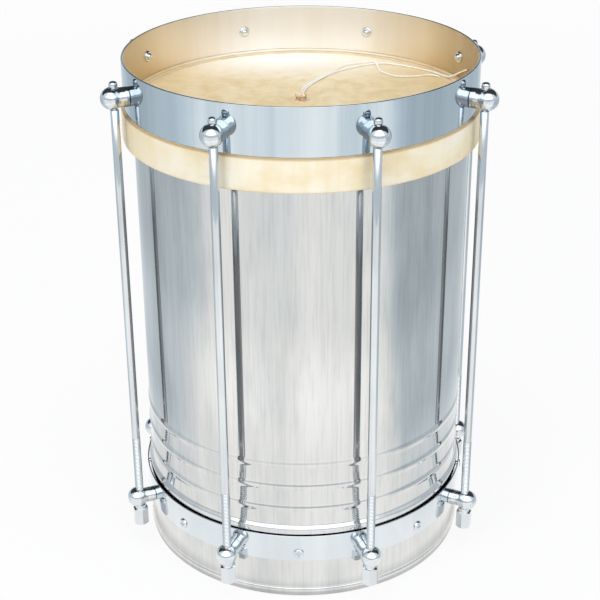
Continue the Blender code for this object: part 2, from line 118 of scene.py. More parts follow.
def capped_faces(rows, columns):
    """A grid's faces, and a fan at each end to one of the two points that follow the grid."""
    pole = rows * columns
    return [round_faces(rows, columns), pole_faces(0, columns, pole)[:, ::-1],
            pole_faces(pole - columns, columns, pole + 1)]


def signed_volume(points, faces):
    """A sixth of the sum of a . (b x c) over the triangles; negative if inside out."""
    total = 0.0
    for part in faces:
        first, mid = points[part[:, 0]], part[:, 1:]
        for k in range(mid.shape[1] - 1):
            total += np.einsum("ij,ij->", first, np.cross(points[mid[:, k]], points[mid[:, k + 1]]))
    return total / 6.0


def smoothed(mesh, crease):
    """Smooth shading, where edges that turn by more than crease degrees stay sharp."""
    mesh.polygons.foreach_set("use_smooth", np.ones(len(mesh.polygons), bool))
    mesh.set_sharp_from_angle(angle=math.radians(crease))
    mesh.update()
    return mesh


# %% Helpers for pieces
def piece_mesh(name, shape, finish, crease=35.0):
    """Points in millimetres and a list of face arrays make one smooth mesh in metres."""
    points, faces = shape
    if signed_volume(points, faces) < 0.0:
        faces = [part[:, ::-1] for part in faces]
    mesh = bpy.data.meshes.new(name)
    mesh.from_pydata((points * MM).tolist(), [], [f for part in faces for f in part.tolist()])
    mesh.materials.append(finish)
    return smoothed(mesh, crease)


def hang(name, mesh, body, node):
    """Put a finished mesh on the body that carries it, in place of one node of the model."""
    piece = placed(name, mesh)
    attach(piece, body)
    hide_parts(node)
    print(name, "faces:", len(mesh.polygons), "in place of", node)
    return piece


# %% [markdown]
# A turned piece takes a profile of radius and height. The profile of a ring is closed on
# itself, and the profile of a solid starts and ends on the axis.

# %% Helpers for turned pieces
def angles(count):
    """Even steps once round: a full turn shared out over count."""
    return np.linspace(0.0, 2.0 * np.pi, count, endpoint=False)


def spun(radius, height, a):
    """The point (r sin a, -r cos a, z) for each radius r, height z and angle a."""
    return np.stack([radius * np.sin(a), -radius * np.cos(a), height + 0.0 * a], -1).reshape(-1, 3)


def turned(profile, around=256, ring=True):
    """Each profile point (r, z) is carried once round the axis; a ring's profile is closed."""
    profile = np.asarray(profile, float)
    body = profile if ring else profile[1:-1]
    points = spun(body[:, :1], body[:, 1:], angles(around))
    if ring:
        return points, [round_faces(len(body), around, True)]
    poles = [[0.0, 0.0, profile[0, 1]], [0.0, 0.0, profile[-1, 1]]]
    return np.vstack([points, poles]), capped_faces(len(body), around)


def arc(centre, radius, start, end, count=5):
    """Points of a circle's arc in the (r, z) plane, from one angle to another in degrees."""
    a = np.radians(np.linspace(start, end, count))
    return np.stack([centre[0] + radius * np.cos(a), centre[1] + radius * np.sin(a)], -1)


def line(start, end, count=2):
    """Evenly spaced points between two profile points."""
    return np.linspace(start, end, count)


def unit(vectors):
    """Each row divided by its own length."""
    return vectors / np.linalg.norm(vectors, axis=1)[:, None]


def rounded(corners, radius, count=4):
    """A closed profile with each corner replaced by a fillet: the two tangent points lie at the
    same distance from the corner, and a quadratic curve pulled by the corner joins them."""
    corners = np.asarray(corners, float)
    before, after = np.roll(corners, 1, 0) - corners, np.roll(corners, -1, 0) - corners
    radius = np.broadcast_to(np.asarray(radius, float), len(corners))[:, None]
    start, end = corners + unit(before) * radius, corners + unit(after) * radius
    t = np.linspace(0.0, 1.0, count)[None, :, None]
    curve = ((1 - t) ** 2 * start[:, None] + 2 * t * (1 - t) * corners[:, None]
             + t ** 2 * end[:, None])
    return curve.reshape(-1, 2)


# %% [markdown]
# ## Sizes
#
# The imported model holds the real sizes. They are repeated here in millimetres, so that each
# smooth piece lies on the solid that it stands for.

# %% Sizes in millimetres
SHELL_R, SHELL_WALL, SHELL_TOP = 127.0, 1.2, 361.7
BEADS, BEAD_HALF = ((118.2, 0.74), (98.8, 0.84), (79.4, 0.90)), 4.0
FOOT_R, FOOT_TOP, FOOT_LOW, RIM_R = 129.2, 66.0, 61.0, 129.9
SKIN_Z, SKIN_T = 362.8, 0.8
LAP_R, LAP_TOP, LAP_BOTTOM, LAP_EDGE_R = 135.4, 365.3, 340.1, 128.6
HOOP_R, HOOP_WALL, HOOP_LOW, HOOP_TOP = 133.5, 1.7, 365.6, 401.3
BAND_IN, BAND_OUT, BAND_LOW, BAND_HIGH = 130.4, 131.4, 34.7, 57.3
ROD_CIRCLE, UPPER_LUG_Z, LOWER_LUG_Z = 143.8, 381.9, 42.2
UPPER_SHANK, LOWER_SHANK, BALL_R, BALL_OUT, SEAT = 7.4, 6.1, 8.3, 1.8, 7.1
ROD_R, ROD_NECK, ROD_END, THREAD_TOP = 3.2, 2.2, 19.5, 99.3
NUT_TOP, NUT_NECK, NUT_LOW, NUT_FLATS = 34.8, 31.9, 17.0, 11.2
SCREW_TURNS = np.radians(45.0 * np.arange(8))
ROD_TURNS = SCREW_TURNS + np.radians(22.5)

# %% [markdown]
# ## Finishes
#
# A finish could be a painted picture, but that shows seams. Each one here is a node tree on the
# piece's own Object coordinates, so it has none and stays on the piece wherever the camera
# goes. Small helpers add the nodes.

# %% Helpers that add nodes
def new_finish(name):
    """An empty finish and its node tree."""
    finish = bpy.data.materials.new(name)
    finish.use_nodes = True
    return finish, finish.node_tree


def add(tree, kind, sockets=None, **settings):
    """One node, its settings, and its sockets: a value is set and another socket is linked."""
    made = tree.nodes.new("ShaderNode" + kind)
    for key, value in settings.items():
        setattr(made, key, value)
    for key, value in (sockets or {}).items():
        if isinstance(value, bpy.types.NodeSocket):
            tree.links.new(value, made.inputs[key])
        else:
            made.inputs[key].default_value = value
    return made


def grain(tree, upright, scale, detail=3.0, rough=0.6):
    """Noise on Object coordinates; an upright below 1 draws it out along the drum's height."""
    place = add(tree, "TexCoord").outputs["Object"]
    spread = add(tree, "Mapping", {"Vector": place, "Scale": (1.0, 1.0, upright)})
    noise = add(tree, "TexNoise", {"Vector": spread.outputs["Vector"], "Scale": scale,
                                   "Detail": detail, "Roughness": rough})
    return noise.outputs["Fac"]


def between(tree, value, low, high, out_low=0.0, out_high=1.0, curve="LINEAR"):
    """Map a value from one range to another, held at the ends."""
    remap = add(tree, "MapRange", {"Value": value, "From Min": low, "From Max": high,
                                   "To Min": out_low, "To Max": out_high},
                interpolation_type=curve)
    return remap.outputs["Result"]


def fade(tree, value, start, end, low=0.0, high=1.0):
    """The same with soft ends: the share t of the way becomes 3 t^2 - 2 t^3."""
    return between(tree, value, start, end, low, high, "SMOOTHSTEP")


def tones(tree, value, stops):
    """Colours along a value: a list of (position, colour)."""
    ramp = add(tree, "ValToRGB", {"Fac": value})
    bar = ramp.color_ramp
    while len(bar.elements) < len(stops):
        bar.elements.new(0.5)
    for element, (position, colour) in zip(bar.elements, stops):
        element.position = position
        element.color = (*colour, 1.0)
    return ramp.outputs["Color"]


def mixed(tree, share, one, two, blend="MIX"):
    """Two colours mixed by a share; a plain colour is given as three numbers."""
    mix = add(tree, "Mix", data_type="RGBA", blend_type=blend)
    for socket, value in zip((mix.inputs[0], mix.inputs[6], mix.inputs[7]), (share, one, two)):
        if isinstance(value, bpy.types.NodeSocket):
            tree.links.new(value, socket)
        else:
            socket.default_value = (*value, 1.0) if isinstance(value, tuple) else value
    return mix.outputs[2]


# %% Helpers for sums, places and the last links
def worked(tree, operation, *values):
    """One step of arithmetic on numbers or sockets, such as a sum."""
    return add(tree, "Math", dict(enumerate(values)), operation=operation).outputs[0]


def product(tree, first, *others):
    """All the values multiplied together."""
    for value in others:
        first = worked(tree, "MULTIPLY", first, value)
    return first


def vector(tree, operation, output, *values):
    """One step of arithmetic on vectors, such as a distance."""
    step = add(tree, "VectorMath", dict(enumerate(values)), operation=operation)
    return step.outputs[output]


def drum_place(tree):
    """The three Object coordinates, the point laid flat, and its distance from the axis."""
    place = add(tree, "TexCoord").outputs["Object"]
    split = add(tree, "SeparateXYZ", {"Vector": place}).outputs
    flat = vector(tree, "MULTIPLY", "Vector", place, (1.0, 1.0, 0.0))
    return split, flat, vector(tree, "LENGTH", "Value", flat)


def turn_round(tree, split):
    """The angle from the front: the arc tangent of x over minus y."""
    return worked(tree, "ARCTAN2", split["X"], product(tree, split["Y"], -1.0))


def finished(finish, colour, rough, height, depth, strength, metallic=0.0):
    """Link colour and roughness, and press a height of 0 to 1 into the surface, with its depth
    in metres."""
    tree = finish.node_tree
    shader = tree.nodes["Principled BSDF"]
    bump = add(tree, "Bump", {"Height": height, "Distance": depth, "Strength": strength})
    for socket, value in (("Base Color", colour), ("Roughness", rough),
                          ("Normal", bump.outputs["Normal"])):
        tree.links.new(value, shader.inputs[socket])
    shader.inputs["Metallic"].default_value = metallic
    return finish


# %% [markdown]
# ### Polished steel of the shell
#
# The shell is stainless sheet, polished up and down. It mirrors the rods through faint upright
# streaks, fine scratches and soft clouds. They could be cut into the mesh, but they are finer
# than its faces, so three noises are drawn out along the drum. All three tint the steel, and
# the scratches change its roughness too.

# %% Finish of the shell
WHITE = (1.0, 1.0, 1.0)


def make_shell_steel():
    """Streaked tones multiplied by the clouds and by the scratches."""
    finish, tree = new_finish("polished_sheet")
    streak = grain(tree, 0.02, 90.0)
    scratch = grain(tree, 0.04, 560.0, 4.0)
    cloud = grain(tree, 0.28, 24.0, 4.0)
    colour = tones(tree, streak, [(0.32, (0.690, 0.702, 0.702)), (0.50, (0.732, 0.735, 0.726)),
                                  (0.70, (0.765, 0.767, 0.757))])
    for noise, dark in ((cloud, (0.86, 0.875, 0.885)), (scratch, (0.91, 0.915, 0.92))):
        shade = tones(tree, noise, [(0.36, dark), (0.52, WHITE)])
        colour = mixed(tree, 1.0, colour, shade, "MULTIPLY")
    rough = between(tree, scratch, 0.3, 0.7, 0.045, 0.085)
    return finished(finish, colour, rough, streak, 0.00002, 0.3, metallic=1.0)


SHELL_STEEL = make_shell_steel()
print("made", SHELL_STEEL.name)

# %% [markdown]
# ### Chrome
#
# The hoop, the band and the cast lugs are chrome plated: a cool mirror with a slight haze. The
# hoop has broad upright streaks, and its inner wall was left raw, so it is rougher; its colour
# there is a painted reflection of the skin, pale at the back and golden to brown towards the
# sides. The lugs keep the unevenness of their casting. The raw wall could have a finish of its
# own, but the distance from the axis tells inside from outside, so one node tree does both.

# %% The raw inner wall of the hoop and its painted reflection
def raw_wall_painted_reflection(tree, radius, shade, rough, ripple):
    """Within the radius the colour is a painted reflection of the skin: it goes from pale over
    gold to brown by |x + 8 mm|, the ripple tints it, and 0.40 is added to the roughness."""
    split, _, reach = drum_place(tree)
    # 1 on the raw inner wall: more roughness there, and a painted reflection of the skin as its
    #                          colour
    raw_and_painted_reflection = between(tree, reach, radius - 0.0002, radius, 1.0, 0.0)
    aside = worked(tree, "ABSOLUTE", worked(tree, "ADD", split["X"], 0.008))
    # painted reflection of the skin: pale at the back, golden and then brown towards the sides
    painted_reflection = mixed(tree, between(tree, aside, 0.050, 0.124), (1.0, 0.99, 0.975),
                 (0.84, 0.69, 0.45))
    painted_reflection = mixed(tree, between(tree, aside, 0.104, 0.134), painted_reflection, (0.56, 0.45, 0.29))
    painted_reflection = mixed(tree, between(tree, ripple, 0.35, 0.65, 0.0, 0.20), painted_reflection, (0.80, 0.68, 0.48))
    return mixed(tree, raw_and_painted_reflection, shade, painted_reflection), worked(tree, "MULTIPLY_ADD", raw_and_painted_reflection, 0.40, rough)


# %% Finishes of the chromed pieces
def make_chrome(name, colour, rough_low, rough_high, scale, depth, upright=0.06, streaks=0.0,
                raw_reflection_radius=0.0):
    """A cool mirror that the haze dulls. Streaks multiply it by bands that darken by their share,
    and a radius given for the inner wall leaves the metal raw within it, coloured by a painted
    reflection of the skin."""
    finish, tree = new_finish(name)
    ripple = grain(tree, upright, scale, 3.0, 0.55)
    haze = grain(tree, 1.0, 45.0)
    dull = tuple(np.array(colour) * (0.9, 0.93, 0.95))
    shade = mixed(tree, between(tree, haze, 0.35, 0.7, 0.0, 0.35), colour, dull)
    rough = between(tree, haze, 0.3, 0.75, rough_low, rough_high)
    if streaks:
        dark = tuple(1.0 - streaks * np.array((1.0, 0.8, 0.7)))
        band = grain(tree, 0.02, 27.0, 4.0, 0.65)
        band = tones(tree, band, [(0.36, dark), (0.54, WHITE), (0.68, (1.06, 1.05, 1.04))])
        shade = mixed(tree, 1.0, shade, band, "MULTIPLY")
    # the inner wall gets a painted reflection of the skin
    if raw_reflection_radius:
        shade, rough = raw_wall_painted_reflection(tree, raw_reflection_radius, shade, rough, ripple)
    return finished(finish, shade, rough, ripple, depth, 0.4, metallic=1.0)


# The hoop's inner wall, within 132.1 mm of the axis, carries a painted reflection of the skin.
HOOP_CHROME = make_chrome("rolled_chrome", (0.685, 0.76, 0.815), 0.04, 0.09, 70.0, 0.00002,
                          streaks=0.27, raw_reflection_radius=0.1321)
BAND_CHROME = make_chrome("strip_chrome", (0.730, 0.775, 0.810), 0.05, 0.10, 90.0, 0.00002,
                          streaks=0.06)
LUG_CHROME = make_chrome("cast_chrome", (0.740, 0.775, 0.805), 0.02, 0.05, 300.0, 0.00034,
                         upright=1.0)
print("made", HOOP_CHROME.name, BAND_CHROME.name, LUG_CHROME.name)

# %% [markdown]
# ### Zinc plated rods
#
# The rods and nuts are zinc plated, a little darker, milkier and softer than the chrome. They
# could share its tree, but zinc has no streaks, so two noises do: clouds for the colour, and a
# fine grain for the roughness.

# %% Finish of the rods and nuts
def make_plated_steel():
    """Two tones along the clouds, and a roughness along the fine grain."""
    finish, tree = new_finish("zinc_plate")
    fine = grain(tree, 0.2, 700.0)
    cloud = grain(tree, 0.4, 60.0, 3.0, 0.5)
    colour = tones(tree, cloud, [(0.35, (0.67, 0.705, 0.735)), (0.60, (0.735, 0.77, 0.795))])
    rough = between(tree, fine, 0.3, 0.7, 0.09, 0.17)
    return finished(finish, colour, rough, fine, 0.00001, 0.3, metallic=1.0)


ZINC = make_plated_steel()
print("made", ZINC.name)

# %% [markdown]
# ### Hide
#
# The skin is calf hide: cream with amber clouds and flecks, and more amber towards the rim.
# One place at the back is pale with a painted sheen. The lap round its edge is golden with
# upright fibres. Its upper edge is browner, partly from creased hide and partly as painted
# shade under the hoop; its lower edge is browner too, and its left end carries painted shade.
# It could be painted by hand. Here noise gives clouds, flecks, fibres and pores, and the
# distance from the axis and the height tell which part of the skin a point is on.

# %% Colour of the stretched hide
def stretched_colour(tree, cloud, mottle, flat, reach):
    """Clouds and flecks mixed, amber by the distance from the axis, and a painted sheen, pale by
    the distance from one place at the back, with x squeezed to make the patch wide."""
    base = tones(tree, cloud, [(0.32, (0.72, 0.54, 0.28)), (0.50, (0.79, 0.64, 0.38)),
                               (0.70, (0.85, 0.73, 0.50))])
    fleck = tones(tree, mottle, [(0.36, (0.70, 0.51, 0.25)), (0.52, (0.83, 0.70, 0.46)),
                                 (0.70, (0.91, 0.83, 0.66))])
    # more amber towards the rim, by the distance from the axis
    rim_amber = product(tree, between(tree, reach, 0.070, 0.127, 0.0, 0.60),
                    between(tree, reach, 0.1316, 0.1328, 1.0, 0.0))
    squeezed = vector(tree, "MULTIPLY", "Vector", flat, (0.45, 1.0, 0.0))
    painted_sheen_distance = vector(tree, "DISTANCE", "Value", squeezed, (-0.008, 0.110, 0.0))
    colour = mixed(tree, rim_amber, mixed(tree, 0.52, base, fleck), (0.79, 0.61, 0.34))
    # painted sheen: pale near one place at the back of the skin
    return mixed(tree, between(tree, painted_sheen_distance, 0.006, 0.060, 0.90, 0.0), colour, (0.99, 0.97, 0.93))


# %% Colour of the lap
def lap_colour(tree, cloud, x):
    """Golden tones along the clouds, browner along upright fibres, and browner towards the left
    end, where the shade of the left lug and rod is painted.
    """
    colour = tones(tree, cloud, [(0.38, (0.88, 0.73, 0.45)), (0.51, (0.96, 0.87, 0.67)),
                                 (0.64, (0.99, 0.95, 0.84))])
    fibres = grain(tree, 0.10, 55.0)
    colour = mixed(tree, between(tree, fibres, 0.50, 0.70, 0.0, 0.60), colour, (0.88, 0.72, 0.43))
    # painted shade of the left lug and rod: the lap browner towards its left end
    return mixed(tree, between(tree, x, -0.130, -0.075, 0.85, 0.0), colour, (0.90, 0.74, 0.46))


# %% Finish of the skin
def make_hide():
    """The stretched hide, and over it the lap by distance from the axis, the lap's two brown
    edges by height, the upper one partly painted shade under the hoop, and the pleats of the
    nub close to the axis."""
    finish, tree = new_finish("calf_hide")
    split, flat, reach = drum_place(tree)
    cloud = grain(tree, 1.6, 16.0, 4.0, 0.55)
    mottle = grain(tree, 1.0, 90.0, 5.0, 0.65)
    pores = grain(tree, 1.0, 900.0, 2.0)
    crease = grain(tree, 1.0, 520.0)
    pleats = tones(tree, crease, [(0.34, (0.56, 0.36, 0.22)), (0.48, (0.84, 0.68, 0.49)),
                                  (0.66, (0.93, 0.84, 0.68))])
    lap = between(tree, reach, 0.1318, 0.1335)
    # the lap's upper edge under the hoop: browner, partly creased hide and partly painted shade
    upper = product(tree, between(tree, split["Z"], 0.3634, 0.3650, 0.0, 0.95),
                    between(tree, reach, 0.1335, 0.1342))
    lower = between(tree, split["Z"], 0.3404, 0.3425, 0.50, 0.0)
    nub = between(tree, reach, 0.0052, 0.0075, 1.0, 0.0)
    colour = stretched_colour(tree, cloud, mottle, flat, reach)
    for share, over in ((lap, lap_colour(tree, cloud, split["X"])), (upper, (0.52, 0.34, 0.15)),
                        (lower, (0.80, 0.62, 0.36)), (nub, pleats)):
        colour = mixed(tree, share, colour, over)
    rough = between(tree, mottle, 0.3, 0.7, 0.38, 0.56)
    return finished(finish, colour, rough, worked(tree, "ADD", pores, mottle), 0.00012, 0.5)


HIDE = make_hide()
print("made", HIDE.name)

# %% [markdown]
# ### Thread, cord, wood and bamboo
#
# The binding is waxed thread, the tails are white cotton cord, the flesh hoop inside the lap
# is bent ash, and the stick is bamboo. All are fibres. Strands could be modelled, but at this
# size noise looks the same, so one function makes all four.

# %% Finishes of the small natural pieces
def make_fibre(name, dark, light, upright, scale, rough, depth=0.0001):
    """Noise runs from a dark to a light tone, and the roughness rises with it by 0.12."""
    finish, tree = new_finish(name)
    fibre = grain(tree, upright, scale, 4.0)
    colour = tones(tree, fibre, [(0.32, dark), (0.66, light)])
    rough = between(tree, fibre, 0.3, 0.7, rough, rough + 0.12)
    return finished(finish, colour, rough, fibre, depth, 0.6)


THREAD = make_fibre("waxed_thread", (0.46, 0.29, 0.18), (0.74, 0.57, 0.41), 1.0, 900.0, 0.6)
COTTON = make_fibre("cotton_cord", (0.90, 0.885, 0.85), (1.0, 0.995, 0.98), 1.0, 1500.0, 0.8)
ASH = make_fibre("bent_ash", (0.76, 0.63, 0.43), (0.90, 0.80, 0.61), 9.0, 60.0, 0.5)
BAMBOO = make_fibre("bamboo", (0.62, 0.45, 0.22), (0.80, 0.66, 0.38), 0.02, 500.0, 0.32, 0.00004)
print("made", THREAD.name, COTTON.name, ASH.name, BAMBOO.name)

# %% [markdown]
# ## The two loose tails
#
# Two white tails leave the thread round the nub and lie on the skin in loose curves; the
# longer one leans up the hoop at its end. Each is a cotton cord of three plies. A curve with a
# round bevel would look like wire. So a line goes through listed points, the same as in
# the part's source, and a section with three shallow lobes turns as it is carried along.

# %% Routes of the tails
TAIL_R = 0.7
LIE = SKIN_Z + TAIL_R + 0.3
# each point is x, y and its height above the lie
TAIL_LONG = ((1.0, 5.4, 1.6), (1.0, 10.0, 1.1), (1.2, 18.0, 0.2), (4.0, 30.0, 0), (9.4, 43.5, 0),
             (20.0, 63.5, 0), (28.5, 74.6, 0), (40.7, 84.3, 0), (50.5, 90.6, 0), (65.7, 94.4, 0),
             (80.7, 87.3, 0), (95.2, 77.6, 0), (104.4, 69.2, 0), (111.0, 60.5, 0),
             (115.2, 54.6, 1.2), (118.6, 50.8, 3.6), (121.4, 46.2, 6.6), (126.1, 32.6, 13.2))
TAIL_SHORT = ((-0.9, 5.4, 1.6), (-0.9, 10.0, 1.1), (-0.7, 18.4, 0.2), (2.2, 30.8, 0),
              (7.7, 44.4, 0), (18.2, 64.4, 0), (25.6, 77.0, 0), (33.6, 89.6, 0), (44.8, 95.6, 0),
              (53.0, 95.4, 1.2), (56.8, 91.9, 2.1), (58.9, 85.6, 0.9), (61.6, 72.2, 0),
              (73.3, 59.4, 0), (87.1, 58.6, 0), (100.3, 62.4, 0), (107.6, 58.4, 0))


def run_along(path):
    """The distance run at each point: the lengths of the steps up to it, summed."""
    return np.concatenate([[0.0], np.cumsum(np.linalg.norm(np.diff(path, axis=0), axis=1))])


def route(corners, spacing):
    """A smooth line through points: on each stretch, four neighbours give a cubic that passes
    through the middle two, and the line is then sampled at an even spacing."""
    ext = np.vstack([2 * corners[0] - corners[1], corners, 2 * corners[-1] - corners[-2]])
    t = np.linspace(0.0, 1.0, 24, endpoint=False)[None, :, None]
    p0, p1, p2, p3 = (ext[k:len(ext) - 3 + k][:, None] for k in range(4))
    curve = 0.5 * (2 * p1 + (p2 - p0) * t + (2 * p0 - 5 * p1 + 4 * p2 - p3) * t ** 2
                   + (3 * p1 - p0 - 3 * p2 + p3) * t ** 3)
    curve = np.vstack([curve.reshape(-1, 3), corners[-1:]])
    run = run_along(curve)
    even = np.linspace(0.0, run[-1], int(round(run[-1] / spacing)) + 1)
    return np.stack([np.interp(even, run, curve[:, k]) for k in range(3)], 1), run[-1]


# %% The surface of a cord
def laid_cord(path, radius, twist, around=12, plies=3, lobe=0.12):
    """At each point the section lies across the line: radius times 1 - lobe + lobe cos(plies
    (a - turn)), where turn grows by one revolution in every twist millimetres."""
    along = unit(np.gradient(path, axis=0))
    flat = unit(np.cross(along, [0.0, 0.0, 1.0]))
    high = np.cross(flat, along)
    a = angles(around)[None, :]
    turn = (2.0 * np.pi * run_along(path) / twist)[:, None]
    r = (radius * (1.0 - lobe + lobe * np.cos(plies * (a - turn))))[:, :, None]
    across = np.cos(a)[..., None] * flat[:, None] + np.sin(a)[..., None] * high[:, None]
    points = (path[:, None] + r * across).reshape(-1, 3)
    return np.vstack([points, path[:1], path[-1:]]), capped_faces(len(path), around)


for name, corners in (("tie_string_1", TAIL_LONG), ("tie_string_2", TAIL_SHORT)):
    path, length = route(np.array(corners) + [0.0, 0.0, LIE], 0.7)
    mesh = piece_mesh(name + "_cotton", laid_cord(path, TAIL_R, 5.0), COTTON, 80.0)
    tail = hang(name + "_cotton", mesh, "head", name)
    print(name, "is", round(length, 1), "mm long")

# %% [markdown]
# ## The shell
#
# The shell is one rolled sheet. Three beads are pressed out of it near the bottom to stiffen
# it, its foot steps outwards below them, and its lower edge is rolled to a soft bright rim
# under a fine groove. It could be sculpted, but the wall is the same all round, so one closed
# profile, outside and inside, is carried round the axis.

# %% The shell's profile and mesh
def bead(z, rise, radius, count=15):
    """Down one bead: the radius rises and falls by one wave of a cosine."""
    t = np.linspace(-1.0, 1.0, count)
    return np.stack([radius + rise * 0.5 * (1.0 + np.cos(np.pi * t)), z - BEAD_HALF * t], -1)


def shell_profile():
    """Down the outside from the upper edge, over the beads and the step, round the rim, and up
    the inside, one wall in. The step's radius grows by half a cosine wave."""
    inner, foot_in, groove = SHELL_R - SHELL_WALL, FOOT_R - SHELL_WALL, FOOT_R - 0.25
    edge_r, roll_r, low_r = 0.5, 4.4, 0.8
    t = np.linspace(0.0, 1.0, 9)
    step = (FOOT_R - SHELL_R) * (0.5 - 0.5 * np.cos(np.pi * t))
    slope = FOOT_TOP - (FOOT_TOP - FOOT_LOW) * t
    return np.vstack([
        line((inner + 0.2, SHELL_TOP), (SHELL_R - edge_r, SHELL_TOP)),
        arc((SHELL_R - edge_r, SHELL_TOP - edge_r), edge_r, 80, 0, 4),
        *[bead(z, rise, SHELL_R) for z, rise in BEADS],
        np.stack([SHELL_R + step, slope], -1),
        line((FOOT_R, 58.0), (FOOT_R, 9.4)),
        line((groove, 8.8), (groove, 8.2)),
        arc((RIM_R - roll_r, 4.6), roll_r, 38, -32, 14),
        arc((RIM_R - 1.5, low_r), low_r, -20, -90, 4),
        line((foot_in + 0.3, 0.0), (foot_in, 0.3)),
        line((foot_in, 30.0), (foot_in, 58.0)),
        np.stack([foot_in - step, slope[::-1] - 0.5], -1),
        *[bead(z, rise, inner)[::-1] for z, rise in reversed(BEADS)],
        line((inner, SHELL_TOP - 8.0), (inner, SHELL_TOP - 0.2))])


shell = piece_mesh("shell_wall", turned(shell_profile()), SHELL_STEEL, 40.0)
hang("shell_wall", shell, "drum", "shell")

# %% [markdown]
# ## The lower band
#
# A flat chromed band is clamped round the foot of the shell and carries the lower lugs. Its
# upper edge stands off the shell, and a dark line of shadow shows behind it. A plain box
# section would do, but a sharp edge catches no light, so its corners are rounded first.

# %% The band
band = rounded([(BAND_IN, BAND_LOW), (BAND_OUT, BAND_LOW), (BAND_OUT, BAND_HIGH),
                (BAND_IN, BAND_HIGH)], (0.2, 0.35, 0.4, 0.4), 5)
hang("chromed_band", piece_mesh("chromed_band", turned(band), BAND_CHROME), "drum",
     "lower_band")

# %% [markdown]
# ## The counter hoop
#
# The hoop is a tall ring of rolled strip that stands on the lapped edge of the skin. The
# eight upper lugs are bolted to it, and the rods pull it down. It could be bent from a strip,
# as the real one is, but turning a rounded section closes it without a seam.

# %% The hoop
hoop_in = HOOP_R - HOOP_WALL
hoop = rounded([(hoop_in, HOOP_LOW), (HOOP_R, HOOP_LOW), (HOOP_R, HOOP_TOP), (hoop_in, HOOP_TOP)],
               (0.3, 0.4, 0.7, 0.7), 6)
hang("rolled_hoop", piece_mesh("rolled_hoop", turned(hoop), HOOP_CHROME), "hoop",
     "counter_hoop")

# %% [markdown]
# ## The skin
#
# The wet hide is pulled over the shell, wrapped under and round the wooden flesh hoop and
# tucked in on top. In the middle it is gathered over the knob of the stick and tied, which
# leaves a small pleated nub. A cloth simulation could do this, but a tight skin is almost a
# turned one. So it is a centre line with a thickness, the gathers are a ripple in the radius
# that fades away from the nub, and the lap waves a little, as hide does.

# %% The skin's line
def skin_line():
    """Middle of the sheet: over the nub, across, over the shell, down, round and over."""
    half = SKIN_T / 2.0
    flat = SKIN_Z - half
    inner, outer = SHELL_R + 0.3 + half, LAP_R - half
    low, high = LAP_BOTTOM + half, LAP_TOP - half
    nub = np.array([(0.0, 6.50), (1.3, 6.44), (2.6, 6.15), (3.7, 5.70), (4.4, 5.15), (4.4, 4.65),
                    (3.8, 4.30), (3.0, 4.05), (2.6, 3.60), (2.5, 2.80), (2.5, 1.50), (2.9, 0.6),
                    (3.6, 0.2), (4.6, 0.0), (6.5, 0.0), (9.0, 0.0)]) + [0.0, flat]
    return np.vstack([
        nub,
        line((14.0, flat), (inner - 1.6, flat), 16),
        arc((inner - 1.3, flat - 1.3), 1.3, 80, 0, 5),
        line((inner, flat - 4), (inner, low + 3), 5),
        arc((inner + 1.2, low + 1.2), 1.2, 180, 270, 5),
        line((inner + 2, low), (outer - 1.6, low), 3),
        arc((outer - 1.3, low + 1.3), 1.3, -80, 0, 5),
        line((outer, low + 3), (outer, high - 2), 8),
        arc((outer - 1.0, high - 1.0), 1.0, 0, 90, 6),
        line((outer - 2, high), (LAP_EDGE_R, high), 3)])


def offset(points, distance):
    """A line moved sideways by a distance, along the mean normal at each point."""
    step = unit(np.diff(points, axis=0))
    normal = np.stack([-step[:, 1], step[:, 0]], 1)
    mean = np.vstack([normal[:1], normal]) + np.vstack([normal, normal[-1:]])
    return points + unit(mean) * distance


# %% The skin's sheet
def skin_shape(around=320):
    """The line moved half a thickness both ways and turned. Sixteen uneven pleats cut the radius
    by up to 13 in 100 near the axis, and waves take up to 0.2 mm off the lap."""
    centre = skin_line()
    over, under = offset(centre, SKIN_T / 2.0), offset(centre, -SKIN_T / 2.0)
    over[0, 0] = under[0, 0] = 0.0
    points, faces = turned(np.vstack([over, under[::-1]]), around, ring=False)
    r, a = np.hypot(points[:, 0], points[:, 1]), np.arctan2(points[:, 0], -points[:, 1])
    near = np.clip((6.5 - r) / 4.0, 0.0, 1.0) * (points[:, 2] > SKIN_Z - 2.0)
    pleat = 1.0 - 0.13 * near * (0.5 + 0.5 * np.cos(16.0 * a + 1.5 * np.sin(3.0 * a)))
    lap = np.clip((r - 133.0) / 1.5, 0.0, 1.0)
    wave = 0.5 + 0.5 * np.sin(5.0 * a + 1.7) * np.cos(9.0 * a) + 0.3 * np.sin(23.0 * a)
    scale = np.where(r > 1e-6, pleat * (r - 0.16 * lap * wave) / np.maximum(r, 1e-6), 1.0)
    points[:, :2] *= scale[:, None]
    return points, faces


hang("hide_skin", piece_mesh("hide_skin", skin_shape(), HIDE, 60.0), "head", "skin")

# %% [markdown]
# The flesh hoop is a ring of ash hidden in the lap, so its solid only gets the finish. The
# binding is thread, pulled tight under the nub in one and a half turns. Rings would be quicker
# but have no ends, so the cord's surface is carried along a helix.

# %% The flesh hoop's finish and the binding
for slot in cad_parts["flesh_hoop"].material_slots:
    slot.material = ASH
BIND_R, BIND_Z, BIND_RISE = 3.7, 363.95, 1.15
turn = np.linspace(0.0, 1.5, 73)
a = 2.0 * np.pi * turn
helix = np.stack([BIND_R * np.cos(a), BIND_R * np.sin(a), BIND_Z + BIND_RISE * turn], 1)
hang("thread_binding", piece_mesh("thread_binding", laid_cord(helix, 0.5, 2.4), THREAD, 80.0),
     "head", "tie_binding")

# %% [markdown]
# ## The lugs
#
# Each lug is a cast round post with a ball end, a hole across it for the rod, and a flat seat
# where the rod's head or the nut presses. A grid with a hole is hard to write down. So the
# post is turned about its own axis, hole and seat are cut once with a boolean, and the points
# are laid at eight places round the drum.

